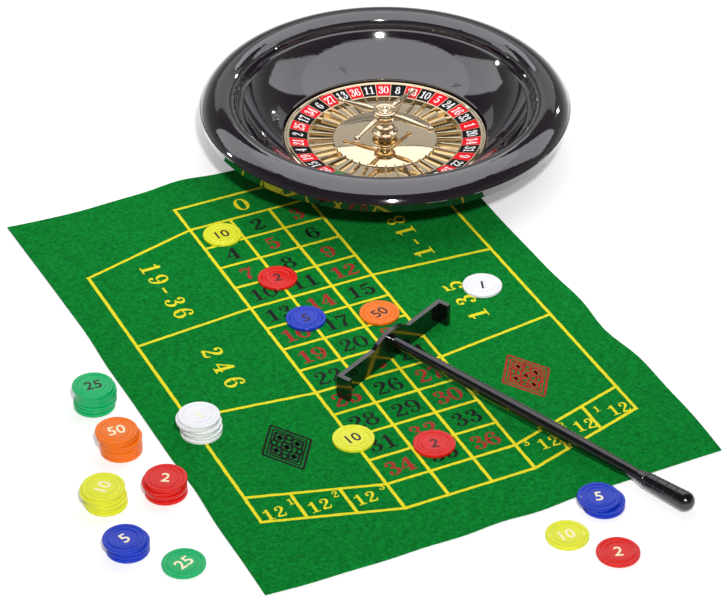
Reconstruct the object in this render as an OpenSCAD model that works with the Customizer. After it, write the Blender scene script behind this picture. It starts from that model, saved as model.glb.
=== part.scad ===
// Tabletop roulette set: wheel, felt layout, rake and chips, laid out ready to play.
// The origin is the middle of the felt's underside, +Y runs along the felt towards the wheel.

/* [Felt layout] */
// Width of the felt, across the number columns
felt_w = 300; // [285:1:330]
// Length of the felt, along the number columns
felt_l = 408; // [390:1:425]
// Thickness of the felt
felt_t = 1; // [0.6:0.1:2]
// How far the cut edges wander, as a share of the drawn wander
edge_wander = 1; // [0:0.1:1.5]

/* [Wheel place] */
// Distance of the wheel's axis in from the felt's right edge
wheel_inset_x = 35; // [25:1:60]
// Distance of the wheel's axis in from the felt's top edge
wheel_inset_y = 24.5; // [15:1:60]

/* [Wheel bowl] */
// Wall of the bowl
bowl_wall = 3; // [2:0.1:4]
// Wall of the rolled rim and its skirt
rim_wall = 2.4; // [1.6:0.1:3]
// Floor of the well that the rotor turns in
floor_t = 2.2; // [1.8:0.1:4]
// Height of the apron's low edge above the bowl's underside
apron_low = 11.1; // [10:0.1:16]
// Width of the sloping apron, from the well to the ball track
apron_w = 25; // [20:0.5:35]
// Rise of the apron
apron_rise = 22.9; // [16:0.1:30]
// Angle that the apron's slope gains on its way up
apron_bend = 30; // [10:1:40]
// Width of the ball track
track_w = 4; // [3:0.1:7]
// Depth of the ball track below the apron's edge
track_depth = 1.2; // [0.5:0.1:2.5]
// Radius of the rim's inner roll
roll_in_r = 9.5; // [6:0.1:12]
// Radius of the rim's outer roll
roll_out_r = 18.5; // [17:0.1:24]
// Width of the rim's outer roll, from its crest to its lip
roll_out_w = 15.6; // [10:0.1:16.5]
// Height of the skirt under the lip
skirt_h = 6.5; // [4:0.1:10]
// How far the skirt's foot leans in
skirt_lean = 1.1; // [0:0.1:5]

/* [Wheel base] */
// Height of the rubber feet
foot_h = 1.6; // [1:0.1:4]
// Diameter of the rubber feet
foot_d = 12; // [8:0.5:16]
// Thickness of the base cover
cover_t = 1.6; // [1.6:0.1:3]
// Radius of the circle that the cover's screws stand on
screw_ring_r = 52; // [40:1:58]
// Diameter of the cover's screws
screw_d = 2.2; // [1.6:0.1:2.4]

/* [Rotor] */
// Diameter of the rotor over its gold trim
rotor_d = 138.2; // [130:0.2:150]
// Clearance between the rotor and its well
well_gap = 0.9; // [0.5:0.1:2]
// Gap between the well's floor and the rotor
rotor_gap = 0.8; // [0.7:0.1:2]
// Floor of the rotor's pan
pan_t = 1.4; // [1:0.1:3]
// Width of the gold trim round the numbers
trim_w = 3.9; // [2:0.1:6]
// Width of the number ring
number_w = 12; // [9:0.1:15]
// Thickness of the number ring
number_t = 1.2; // [0.8:0.1:1.6]
// Rise of the number ring from its inner to its outer edge
number_rise = 2.1; // [0.5:0.1:4]
// Length of a ball pocket, measured along the radius
pocket_l = 16.2; // [12:0.1:20]
// Depth of a ball pocket
pocket_depth = 2.2; // [1.5:0.1:4]
// Floor of the pocket ring
pocket_t = 0.8; // [0.6:0.1:2]
// Thickness of a fret at its foot
fret_foot = 1.6; // [1:0.1:2.4]
// Thickness of a fret at its top
fret_top = 0.8; // [0.4:0.1:1]
// Height of the cone's edge above the pocket floor
cone_edge = 0.8; // [0.4:0.1:1.5]
// Rise of the cone from its edge to the turret
cone_rise = 2.2; // [1:0.1:5]
// Thickness of the cone's shell
cone_t = 1; // [0.6:0.1:1.2]

/* [Bearing] */
// Diameter of the spindle
spindle_d = 6; // [4:0.5:6]
// Height of the spindle above the bowl's underside
spindle_h = 14; // [12:0.5:16]
// Radial clearance of the spindle in its bush
bush_clear = 0.05; // [0.02:0.01:0.1]
// Wall of the bush
bush_wall = 1.5; // [1:0.1:1.6]

/* [Turret] */
// Height of the turret's column
column_h = 14.2; // [12:0.1:20]
// Radius of the hub that carries the arms
hub_r = 8.1; // [7.6:0.1:10]
// Height of the hub with its raised ring
hub_h = 6.6; // [6:0.1:8]
// Distance of an arm's ball from the turret's axis
arm_reach = 35.9; // [30:0.1:45]
// Droop of the arms from level
arm_droop = 2.9; // [0:0.1:6]
// Greatest radius of an arm
arm_r = 2.3; // [1.8:0.1:2.5]
// Radius of the ball at the end of an arm
arm_ball_r = 2.2; // [1.5:0.1:3]
// Angle of the first arm from +X
arm_angle = 32.5; // [0:0.5:89.5]

/* [Deflectors] */
// Distance of the tangential deflectors from the wheel's axis
deflector_r_in = 76.4; // [74.5:0.1:80]
// Distance of the radial deflectors from the wheel's axis
deflector_r_out = 80.2; // [76:0.1:86]
// Long diagonal of a deflector
deflector_l = 11.5; // [6:0.5:12]
// Short diagonal of a deflector
deflector_w = 8; // [4:0.5:10]
// Height of a deflector above the apron
deflector_h = 1; // [0.8:0.1:3]
// Angle of the first deflector from +X
deflector_angle = 24.4; // [0:0.1:60]

/* [Chips] */
// Diameter of a chip
chip_d = 25.4; // [22:0.1:28]
// Thickness of a chip
chip_t = 2.15; // [1.6:0.05:3]
// Radius of a chip's rounded edge
chip_round = 0.55; // [0.2:0.05:0.6]
// Depth of a chip's middle and of the groove inside its rim, on each face
chip_dish = 0.3; // [0.1:0.05:0.4]
// Air between the chips of a stack
stack_air = 0.05; // [0.02:0.01:0.1]
// How far the chips of a stack are out of line, as a share of the drawn places
stack_mess = 1; // [0:0.1:1.2]

/* [Rake] */
// Place of the rake's head across the felt
rake_x = 12.6; // [5:0.1:25]
// Place of the rake's head along the felt
rake_y = -35.1; // [-45:0.1:-30]
// Turn of the rake's head from the felt's width
rake_turn = 26; // [15:0.1:30]
// Turn of the rod back from square to the blade
rod_skew = 2.4; // [0:0.1:4]
// Length of the rake's blade
blade_l = 102; // [80:1:120]
// Height of the rake's blade
blade_h = 15.6; // [12:0.1:20]
// Thickness of the rake's blade
blade_t = 3; // [2:0.1:4]
// Length of the prongs at the blade's ends, with the blade
prong_l = 9.2; // [5:0.1:14]
// Width of the arch over the rod
arch_w = 34; // [26:1:44]
// Rise of the arch over the rod
arch_rise = 6; // [3:0.1:9]
// Plan length from the blade to the middle of the grip's round end
reach = 224.5; // [210:0.5:240]
// Height of the rod's root above the blade's foot
root_h = 14.8; // [12:0.1:16]
// Radius of the rod at the blade
rod_r_root = 2.9; // [2.4:0.1:3.4]
// Radius of the rod at its fattest place
rod_r_mid = 4.2; // [3.6:0.1:4.8]
// Radius of the rod at the grip
rod_r_end = 3.3; // [2.8:0.1:3.8]
// Length of the grip
grip_l = 39; // [30:1:45]
// Radius of the grip's round end
grip_r = 6; // [5.4:0.1:7]
// Radius of the grip at its shoulder
grip_r_neck = 4.9; // [4.4:0.1:5.2]

/* [Hidden] */
$fn = 96;

pocket_count = 37;
foot_count = 4;
screw_count = 4;
arm_count = 4;
deflector_count = 6;
fit = 0.02;

// Wheel levels, above the plane that the feet stand on
cover_z = foot_h;
base_z = cover_z + cover_t;
floor_z = base_z + floor_t;
pan_z = floor_z + rotor_gap;
pan_top_z = pan_z + pan_t;
pocket_z = pan_top_z + pocket_t;
fret_z = pocket_z + pocket_depth;
number_z = fret_z - 0.6;
number_out_z = number_z + number_rise;
cone_z = pocket_z + cone_edge;
crown_z = cone_z + cone_rise;
hub_z = crown_z + column_h;
arm_z = hub_z + 0.67 * hub_h;
cap_z = hub_z + hub_h - 1.2;

// Rotor radii
rotor_r = rotor_d / 2;
number_out_r = rotor_r - trim_w;
number_in_r = number_out_r - number_w;
pocket_wall = 1.2;
pocket_out_r = number_in_r - fit;
pocket_in_r = pocket_out_r - pocket_wall - pocket_l;
cone_r = pocket_in_r - fit;
well_r = rotor_r + well_gap;

// Bearing radii
spindle_r = spindle_d / 2;
bush_in_r = spindle_r + bush_clear;
bush_r = bush_in_r + bush_wall;
bush_flange_r = bush_r + 2.6;
bush_top_z = base_z + spindle_h + 0.4;
spindle_head_r = spindle_r + 3;
spindle_head_t = 1.3;
boss_r = spindle_r + 5;
boss_h = 0.3;
washer_t = rotor_gap - boss_h - 0.05;

// The apron is an arc that steepens on its way up to the ball track
lip_round = 0.5;
apron_a = [well_r + lip_round, base_z + apron_low];
apron_b = [apron_a[0] + apron_w, apron_a[1] + apron_rise];
apron_mid = atan2(apron_rise, apron_w);
apron_a0 = apron_mid - apron_bend / 2;
apron_a1 = apron_mid + apron_bend / 2;
apron_r = norm(apron_b - apron_a) / (2 * sin(apron_bend / 2));
apron_c = [apron_a[0] - apron_r * sin(apron_a0), apron_a[1] + apron_r * cos(apron_a0)];
apron_under_a0 = asin((well_r + bowl_wall - apron_c[0]) / (apron_r + bowl_wall));
apron_under_a1 = apron_a1 - 3.5;

// The rim rolls up from the ball track, over its crest and down to the lip
roll_in_x = apron_b[0] + track_w;
crest_x = roll_in_x + roll_in_r;
crest_z = apron_b[1] + roll_in_r;
roll_out_a = asin(roll_out_w / roll_out_r);
lip = [crest_x + roll_out_w, crest_z - roll_out_r * (1 - cos(roll_out_a))];
lip_bead = 0.5;
wheel_r = lip[0] + lip_bead;
skirt_z = lip[1] - skirt_h;

wheel_x = felt_w / 2 - wheel_inset_x;
wheel_y = felt_l / 2 - wheel_inset_y;

// Chip places on the felt come from its middle, those on the table from its edges
chip_r = chip_d / 2;
chip_pitch = chip_t + stack_air;
table_gap = 1.2;
left_x = -felt_w / 2 - chip_r - table_gap;
low_y = -felt_l / 2 - chip_r - table_gap;

// The felt is cut by hand: its corners are a little out of square
felt_top_left = [-felt_w / 2, felt_l / 2 - 1.5];
felt_low_left = [-felt_w / 2 + 2.8, -felt_l / 2 - 1];
felt_low_right = [felt_w / 2 + 0.4, -felt_l / 2 + 0.5];
felt_top_right = [felt_w / 2 - 2.7, felt_l / 2 - 0.3];

// Inward wander of the four cut edges, in equal steps from corner to corner
wander_left = [0, 0.7, 1.5, 2.1, 2.5, 1.3, 1.4, 1.2, 1, 1.7, 0.3, 0.4, 0];
wander_low = [0, -1.8, -2.1, -2.8, -2.3, -2.9, -1.3, -2.5, -0.5, -0.4, -0.2, 0, 0];
wander_right = [0, -2.3, -2.5, -2.9, 1.7, -0.8, 1, 1.4, 1.7, 1.1, 0.8, 0.4, 0];
wander_top = [0, 0.5, 1, 1.5, 2, 2.4, 1.5, -2.3, 0.7, 1.9, 3.1, 2.1, 0];

// Slope of the rake's rod, which lies on the blade at one end and on the table at the other
rod_drop = atan2(felt_t + root_h - grip_r, reach);
rod_len = reach / cos(rod_drop);
grip_start = rod_len + grip_r - grip_l;
tenon_l = 12;
tenon_r = 2.3;

function arc(c, r, a0, a1, n) =
    [for (i = [0:n]) let (a = a0 + (a1 - a0) * i / n) [c[0] + r * cos(a), c[1] + r * sin(a)]];

// Points of a curve like the apron, whose slope angle runs from a0 to a1
function slope_arc(c, r, a0, a1, n) = arc(c, r, a0 - 90, a1 - 90, n);

function apron_height(r) = apron_c[1] - sqrt(pow(apron_r, 2) - pow(r - apron_c[0], 2));

// Smooth curve through points a, b, c, d, for the stretch from b to c
function smooth(a, b, c, d, t) =
    0.5 * (2 * b + (c - a) * t + (2 * a - 5 * b + 4 * c - d) * t * t
    + (3 * b - a - 3 * c + d) * t * t * t);

// One cut edge of the felt from corner p to corner q, wandering in by the listed amounts
function cut_edge(p, q, wander, steps = 4) =
    let (
        n = len(wander) - 1,
        along = (q - p) / n,
        inward = [-along[1], along[0]] / norm(along),
        pts = [for (i = [0:n]) p + along * i + inward * wander[i] * edge_wander]
    )
    [for (i = [0:n - 1], s = [0:steps - 1])
        smooth(pts[max(i - 1, 0)], pts[i], pts[i + 1], pts[min(i + 2, n)], s / steps)];

module on_wheel() {
    translate([wheel_x, wheel_y, felt_t]) children();
}

module layout_felt() {
    color("green")
    linear_extrude(felt_t)
    polygon(concat(
        cut_edge(felt_top_left, felt_low_left, wander_left),
        cut_edge(felt_low_left, felt_low_right, wander_low),
        cut_edge(felt_low_right, felt_top_right, wander_right),
        cut_edge(felt_top_right, felt_top_left, wander_top)
    ));
}

// Section of the bowl: well, apron, ball track, rolled rim and skirt, then back underneath
function bowl_section() = concat(
    [[spindle_r + fit, base_z + spindle_head_t], [spindle_r + fit, floor_z + boss_h],
     [boss_r, floor_z + boss_h], [boss_r, floor_z], [well_r, floor_z], [well_r, apron_a[1] - lip_round]],
    slope_arc(apron_c, apron_r, apron_a0, apron_a1, 40),
    [[apron_b[0] + 1, apron_b[1] - track_depth], [roll_in_x - 1.2, apron_b[1] - track_depth],
     [roll_in_x - 0.3, apron_b[1] - track_depth / 2]],
    arc([crest_x, apron_b[1]], roll_in_r, 180, 90, 24),
    [for (p = arc([crest_x, crest_z - roll_out_r], roll_out_r, 90, 90 - roll_out_a, 32)) if (p[0] > crest_x) p],
    [[wheel_r, lip[1] - lip_bead], [wheel_r, lip[1] - 2 * lip_bead], [wheel_r - skirt_lean, skirt_z],
     [wheel_r - skirt_lean - rim_wall, skirt_z], [lip[0] - rim_wall - 0.4, lip[1] - 2 * lip_bead]],
    arc([crest_x, crest_z - roll_out_r], roll_out_r - rim_wall, 90 - roll_out_a + 3, 90, 8),
    [for (p = arc([crest_x, apron_b[1]], roll_in_r - rim_wall, 90, 180, 8)) if (p[0] < crest_x) p],
    [[roll_in_x + rim_wall - 0.5, apron_b[1] - track_depth - bowl_wall + 1],
     [roll_in_x - 0.6, apron_b[1] - track_depth - bowl_wall]],
    slope_arc(apron_c, apron_r + bowl_wall, apron_under_a1, apron_under_a0, 12),
    [[well_r + bowl_wall, base_z], [spindle_head_r + fit, base_z],
     [spindle_head_r + fit, base_z + spindle_head_t]]
);

module bowl_form() {
    rotate_extrude() polygon(bowl_section());
}

module bowl() {
    color([0.08, 0.07, 0.08])
    on_wheel()
    difference() {
        bowl_form();
        screw_places() translate([0, 0, base_z - 1]) cylinder(r = screw_d / 2 + fit, h = 1 + floor_t - 0.4);
    }
}

module screw_places() {
    for (i = [0:screw_count - 1]) rotate(45 + i * 360 / screw_count) translate([screw_ring_r, 0, 0]) children();
}

module base_cover() {
    color([0.1, 0.1, 0.1])
    on_wheel()
    difference() {
        translate([0, 0, cover_z]) cylinder(r = well_r + bowl_wall - 1, h = cover_t);
        screw_places() {
            translate([0, 0, cover_z - 1]) cylinder(r = screw_d / 2 + fit, h = cover_t + 2);
            translate([0, 0, cover_z - 1]) cylinder(r = screw_d + fit, h = 1.9);
        }
    }
}

// Flat-headed screws that hold the cover to the bowl
module base_screws() {
    color("silver")
    on_wheel()
    screw_places() {
        difference() {
            translate([0, 0, cover_z + 0.1]) cylinder(r = screw_d, h = 0.8);
            translate([-screw_d, -0.25, cover_z]) cube([2 * screw_d, 0.5, 0.45]);
        }
        translate([0, 0, cover_z + 0.8]) cylinder(r = screw_d / 2, h = cover_t - 0.8 + floor_t - 0.8);
    }
}

module rubber_feet() {
    foot_ring_r = well_r + bowl_wall - foot_d / 2 - 3;
    color([0.15, 0.15, 0.15])
    on_wheel()
    for (i = [0:foot_count - 1]) rotate(80 + i * 360 / foot_count) translate([foot_ring_r, 0, 0])
    rotate_extrude()
    polygon([[0, 0], [foot_d / 2 - 0.5, 0], [foot_d / 2, 0.5], [foot_d / 2, foot_h], [0, foot_h]]);
}

module spindle() {
    color("silver")
    on_wheel()
    rotate_extrude()
    polygon([
        [0, base_z], [spindle_head_r, base_z], [spindle_head_r, base_z + spindle_head_t - fit],
        [spindle_r, base_z + spindle_head_t - fit], [spindle_r, base_z + spindle_h - 0.8],
        [spindle_r - 0.8, base_z + spindle_h], [0, base_z + spindle_h]
    ]);
}

module thrust_washer() {
    color("white")
    on_wheel()
    translate([0, 0, floor_z + boss_h])
    difference() {
        cylinder(r = boss_r - 0.6, h = washer_t);
        translate([0, 0, -1]) cylinder(r = spindle_r + 0.1, h = washer_t + 2);
    }
}

// Diamond studs on the apron, lengthwise and crosswise in turn, each bedded on the slope
module deflectors() {
    color([0.12, 0.11, 0.12])
    on_wheel()
    difference() {
        for (i = [0:deflector_count - 1]) {
            across = i % 2 == 0;
            r = across ? deflector_r_in : deflector_r_out;
            slope = asin((r - apron_c[0]) / apron_r);
            rotate(deflector_angle + i * 360 / deflector_count)
            translate([r, 0, apron_height(r)])
            rotate([0, -slope, 0])
            rotate(across ? 90 : 0)
            for (step = [0:2]) {
                grow = 1 - step * 0.3;
                rise = deflector_h * (1 + step * 0.45) / 1.9;
                translate([0, 0, -1])
                linear_extrude(rise + 1)
                scale([deflector_l * grow / 2, deflector_w * grow / 2])
                polygon([[1, 0], [0, 1], [-1, 0], [0, -1]]);
            }
        }
        bowl_form();
    }
}

// Carrier of the rotor: a plate whose raised rim backs the number ring and the trim
module rotor_pan() {
    color([0.1, 0.1, 0.1])
    on_wheel()
    rotate_extrude()
    polygon([
        [bush_r + fit, pan_z + 0.8], [bush_r + fit, pan_top_z], [number_in_r, pan_top_z],
        [number_in_r, number_z - number_t], [number_out_r, number_out_z - number_t],
        [rotor_r - 0.5, number_out_z - number_t], [rotor_r - 0.5, pan_z + 1], [rotor_r - 1.5, pan_z],
        [bush_flange_r + fit, pan_z], [bush_flange_r + fit, pan_z + 0.8]
    ]);
}

// Ring of ball pockets, one beside each number, parted by tapered frets
module pocket_ring() {
    in_r = pocket_in_r;
    out_r = pocket_out_r;
    color("gold")
    on_wheel() {
        rotate_extrude()
        polygon([
            [in_r, pan_top_z], [out_r, pan_top_z], [out_r, number_z], [out_r - 0.3, fret_z],
            [out_r - pocket_wall + 0.3, fret_z], [out_r - pocket_wall, fret_z - 0.3],
            [out_r - pocket_wall, pocket_z], [in_r, pocket_z]
        ]);
        for (i = [0:pocket_count - 1]) rotate(number_turn(i) + 180 / pocket_count)
        translate([in_r + 0.02, 0, pocket_z - 0.2])
        rotate([90, 0, 90])
        linear_extrude(pocket_l + 0.2)
        polygon([
            [-fret_foot / 2, 0], [fret_foot / 2, 0], [fret_top / 2, pocket_depth],
            [fret_top / 4, pocket_depth + 0.2], [-fret_top / 4, pocket_depth + 0.2], [-fret_top / 2, pocket_depth]
        ]);
    }
}

// Angle of the i-th place round the wheel, clockwise, with place 15 at the far side
far_place = 15;
far_angle = 65;
function number_turn(i) = far_angle - (i - far_place) * 360 / pocket_count;

module number_ring() {
    color("red")
    on_wheel()
    rotate_extrude()
    polygon([
        [number_in_r, number_z - number_t], [number_out_r, number_out_z - number_t],
        [number_out_r, number_out_z], [number_in_r, number_z]
    ]);
}

module number_trim() {
    low = number_out_z - number_t;
    color("gold")
    on_wheel()
    rotate_extrude()
    polygon([
        [number_out_r + fit, low], [rotor_r, low], [rotor_r, low + 0.9], [rotor_r - 0.6, low + 1.5],
        [rotor_r - 1.6, low + 1.6], [rotor_r - 2, low + 1.3], [number_out_r + 0.9, low + 1.5],
        [number_out_r + fit, low + 1.4]
    ]);
}

// Mirror-bright cone inside the pockets: flat under the turret, then a dome down to its turned edge
module rotor_cone() {
    flat_r = 7;
    edge_r = cone_r - 0.6;
    steps = 24;
    function dome(i) =
        let (r = flat_r + (edge_r - flat_r) * i / steps)
        [r, crown_z - (cone_rise - 0.15) * pow(i / steps, 2)];
    color("gold")
    on_wheel()
    rotate_extrude()
    polygon(concat(
        [[bush_r + fit, crown_z - cone_t], [bush_r + fit, crown_z]],
        [for (i = [0:steps]) dome(i)],
        [[cone_r, cone_z - 0.3], [cone_r, pan_top_z], [cone_r - cone_t, pan_top_z], [cone_r - cone_t, cone_z - cone_t]],
        [for (i = [20:-4:0]) dome(i) - [0, cone_t]]
    ));
}

// Flanged bush in the middle of the rotor, running on the spindle
module rotor_bush() {
    color("goldenrod")
    on_wheel()
    rotate_extrude()
    polygon([
        [bush_in_r, pan_z], [bush_flange_r, pan_z], [bush_flange_r, pan_z + 0.8 - fit], [bush_r, pan_z + 0.8 - fit],
        [bush_r, bush_top_z], [bush_in_r, bush_top_z]
    ]);
}

// Turned column of the turret, from the cone up to the hub, with a blind hole for the bush
module turret_column() {
    // Radius at each level: foot, waist, belly, collar and neck, then the flare under the hub
    belly = [
        [6.2, 0], [6.2, 0.7], [5.5, 1.3], [7, 1.8], [8.4, 2.5], [8.9, 3.4], [8.7, 4.2], [7.9, 4.9], [6.9, 5.3],
        [5.9, 5.8], [5.5, 6.4], [5.8, 7], [6.3, 7.6], [6.2, 8.3], [5.4, 8.9], [4.6, 9.5], [4.3, 10.4]
    ];
    flare = [[4.3, -3.4], [4.6, -2.2], [5.3, -1.6], [5.3, -1.1], [4.5, -0.6], [4.6, 0]];
    color("gold")
    on_wheel()
    rotate_extrude()
    polygon(concat(
        [[0, bush_top_z + 0.3], [bush_r + fit, bush_top_z + 0.3], [bush_r + fit, crown_z]],
        [for (p = belly) [p[0], crown_z + p[1]]],
        [for (p = flare) [p[0], hub_z + p[1]]],
        [[0, hub_z]]
    ));
}

module arm_places() {
    for (i = [0:arm_count - 1]) rotate(arm_angle + i * 360 / arm_count)
    translate([0, 0, arm_z]) rotate([0, 90 + arm_droop, 0]) children();
}

peg_r = 1.2;
peg_l = 3;

// Hub of the turret, a rounded cup with a raised ring and a socket for each arm
module turret_hub() {
    color("gold")
    on_wheel()
    difference() {
        rotate_extrude()
        polygon([
            [0, hub_z], [4.6, hub_z], [hub_r - 2.6, hub_z + 0.5], [hub_r - 1.4, hub_z + 1.2], [hub_r - 0.5, hub_z + 2.2],
            [hub_r, hub_z + 3.4], [hub_r, hub_z + hub_h - 1.9], [hub_r - 0.25, hub_z + hub_h - 1.65],
            [hub_r + 0.25, hub_z + hub_h - 1.3], [hub_r + 0.35, hub_z + hub_h - 0.8], [hub_r + 0.1, hub_z + hub_h - 0.3],
            [hub_r - 0.4, hub_z + hub_h - 0.05], [hub_r - 1, hub_z + hub_h], [hub_r - 1.6, hub_z + hub_h - 0.15],
            [hub_r - 2.1, hub_z + hub_h - 0.6], [hub_r - 2.3, cap_z], [0, cap_z]
        ]);
        arm_places() translate([0, 0, hub_r - peg_l]) cylinder(r = peg_r + fit, h = peg_l + 1);
        arm_places() translate([0, 0, hub_r - 0.4]) cylinder(r = 1.62, h = 2);
    }
}

// Spindle-shaped arms, each with a peg in the hub and a ball at its end
module turret_arms() {
    start = hub_r - 0.4;
    run = arm_reach - start;
    color("gold")
    on_wheel()
    arm_places() {
        rotate_extrude()
        polygon([
            [0, hub_r - peg_l + 0.2], [peg_r, hub_r - peg_l + 0.2], [peg_r, start], [1.5, start], [1.5, start + 0.8],
            [arm_r * 0.72, start + 0.07 * run], [arm_r * 0.94, start + 0.18 * run], [arm_r, start + 0.32 * run],
            [arm_r * 0.93, start + 0.48 * run], [arm_r * 0.72, start + 0.68 * run], [arm_r * 0.48, start + 0.87 * run],
            [arm_r * 0.62, start + 0.89 * run], [arm_r * 0.62, start + 0.92 * run], [arm_r * 0.4, start + 0.94 * run],
            [0, start + 0.96 * run]
        ]);
        translate([0, 0, arm_reach]) sphere(r = arm_ball_r);
    }
}

// Ringed cap with a button, let into the hub's raised ring
module turret_cap() {
    ring_r = hub_r - 2.8;
    button_r = 2.9;
    color("gold")
    on_wheel()
    translate([0, 0, cap_z])
    rotate_extrude()
    polygon([
        [0, 0], [ring_r - 0.2, 0], [ring_r, 0.3], [ring_r - 0.1, 0.8], [ring_r - 0.5, 1.1], [ring_r - 1, 1.1],
        [ring_r - 1.5, 0.8], [ring_r - 1.8, 0.4], [button_r + 0.2, 0.3], [button_r - 0.1, 0.7], [button_r - 0.5, 1.1],
        [button_r - 1.2, 1.4], [button_r - 2, 1.55], [0, 1.6]
    ]);
}

module on_rake() {
    translate([rake_x, rake_y, felt_t]) rotate(rake_turn) children();
}

// Runs children along the rod, from the blade's middle towards the grip
module along_rod() {
    translate([0, 0, root_h]) rotate([0, 0, -rod_skew]) rotate([90 + rod_drop, 0, 0]) children();
}

// Blade with a prong at each end and an arch in the middle where the rod goes in
module rake_blade() {
    arch_r = (pow(arch_w / 2, 2) + pow(arch_rise, 2)) / (2 * arch_rise);
    color([0.07, 0.07, 0.08])
    on_rake()
    difference() {
        union() {
            translate([-blade_l / 2, -blade_t, 0]) cube([blade_l, blade_t, blade_h]);
            for (side = [-1, 1])
                translate([side * (blade_l - blade_t) / 2 - blade_t / 2, -prong_l, 0]) cube([blade_t, prong_l, blade_h]);
            rotate([90, 0, 0])
            linear_extrude(blade_t)
            intersection() {
                translate([0, blade_h + arch_rise - arch_r]) circle(r = arch_r);
                translate([-arch_w / 2, blade_h - 1]) square([arch_w, arch_rise + 2]);
            }
            along_rod() translate([0, 0, blade_t / 2]) cylinder(r = rod_r_root + 1.2, h = blade_t / 2 + 1);
        }
        along_rod() translate([0, 0, -5]) cylinder(r = tenon_r + fit, h = 20);
    }
}

// Radius of the rod at a share s of its length: slim at both ends, fattest past the middle
function rod_radius(s) =
    let (peak = 0.62)
    s < peak
    ? rod_r_mid - (rod_r_mid - rod_r_root) * pow((peak - s) / peak, 2)
    : rod_r_mid - (rod_r_mid - rod_r_end) * pow((s - peak) / (1 - peak), 2);

module rake_rod() {
    start = blade_t + 1.3;
    steps = 16;
    run = grip_start - start;
    color([0.07, 0.07, 0.08])
    on_rake()
    along_rod()
    rotate_extrude()
    polygon(concat(
        [[0, 0.6], [tenon_r, 0.6], [tenon_r, start]],
        [for (i = [0:steps]) [rod_radius(i / steps), start + run * i / steps]],
        [[tenon_r, grip_start], [tenon_r, grip_start + tenon_l], [0, grip_start + tenon_l]]
    ));
}

// Moulded grip with a shoulder, ring grooves and a round end
module rake_grip() {
    groove = 0.35;
    groove_count = 4;
    shoulder_l = 6;
    body_l = grip_l - shoulder_l - grip_r;
    body_z = grip_start + shoulder_l;
    pitch = body_l / groove_count;
    color([0.09, 0.09, 0.1])
    on_rake()
    along_rod()
    difference() {
        rotate_extrude()
        polygon(concat(
            [[0, grip_start], [rod_r_end + 0.4, grip_start], [grip_r_neck - 0.4, grip_start + shoulder_l - 1.5],
             [grip_r_neck, body_z - 0.5]],
            [for (i = [0:groove_count - 1], p = [[0, 0.7], [groove, 1], [groove, 1.5], [0, 1.8]])
                let (z = i * pitch + p[1])
                [grip_r_neck + (grip_r - grip_r_neck) * z / body_l - p[0], body_z + z]],
            [for (a = [0:10:90]) [grip_r * cos(a), rod_len + grip_r * sin(a)]]
        ));
        translate([0, 0, grip_start - 1]) cylinder(r = tenon_r + fit, h = tenon_l + 1.2);
    }
}

// Chip with a flat rim, a groove, a raised ring and a lowered middle, alike on both faces
module chip() {
    ring = chip_r * 0.69;
    face = [
        [ring - 1.4, chip_dish], [ring - 0.7, 0.1], [ring - 0.3, 0.03], [ring + 0.3, 0.03], [ring + 0.7, 0.1],
        [ring + 1.2, chip_dish], [ring + 1.5, chip_dish], [ring + 2.1, 0.05], [ring + 2.4, 0]
    ];
    edge = [for (a = [0:15:90]) [chip_r - chip_round + chip_round * sin(a), chip_round - chip_round * cos(a)]];
    half = concat([[0, chip_dish]], face, edge);
    rotate_extrude()
    polygon(concat(
        [for (p = half) [p[0], p[1]]],
        [for (i = [len(half) - 1:-1:0]) [half[i][0], chip_t - half[i][1]]]
    ));
}

// A stack from z up; each chip stands off the stack's middle by its listed amounts
module chip_stack(place, z, offs) {
    for (i = [0:len(offs) - 1])
        translate([place[0] + offs[i][0] * stack_mess, place[1] + offs[i][1] * stack_mess, z + i * chip_pitch])
        chip();
}

module one_chip(x, y, z) {
    translate([x, y, z]) chip();
}

module stack_white() {
    color("white")
    chip_stack([-122.1, -53.5], felt_t, [[0.7, -0.8], [1.2, -0.3], [0.3, 0], [0.7, -0.5], [-1.4, 0.4], [0, 0]]);
}

module stack_green() {
    color("mediumseagreen")
    chip_stack([left_x - 4.9, -0.5], 0,
        [[0.2, -0.4], [0.4, 0.2], [1.3, -0.5], [1.4, 0.2], [1.5, 0], [1.2, -0.3], [0, 0.2]]);
}

module stack_orange() {
    color("orange")
    chip_stack([left_x - 7.6, -48], 0,
        [[1.1, -0.5], [1.2, -0.3], [0.9, -0.6], [1, 0], [1.2, -0.5], [-0.7, 0.5], [-1, 0.6]]);
}

module stack_yellow() {
    color("yellow")
    chip_stack([left_x - 34, -90.6], 0, [[0.8, -0.3], [0.2, 0.6], [0.6, -0.3], [-0.2, 0.2], [-1.5, 0.5], [-0.3, 0]]);
}

module stack_red() {
    color("red")
    chip_stack([left_x + 2.4, -96.2], 0, [[-0.3, -0.5], [-0.2, 0.6], [-0.6, -0.6], [-1.5, 0.2], [0, 0]]);
}

module stack_blue() {
    color("royalblue")
    chip_stack([left_x - 38, -134.6], 0, [[0.6, -0.3], [0.7, 0], [0.9, 0.3], [-0.9, 0.4]]);
}

module pile_blue() {
    color("royalblue")
    chip_stack([60.6, low_y], 0, [[1.2, 0], [1.4, 0.4], [-0.9, 2.2]]);
}

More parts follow.
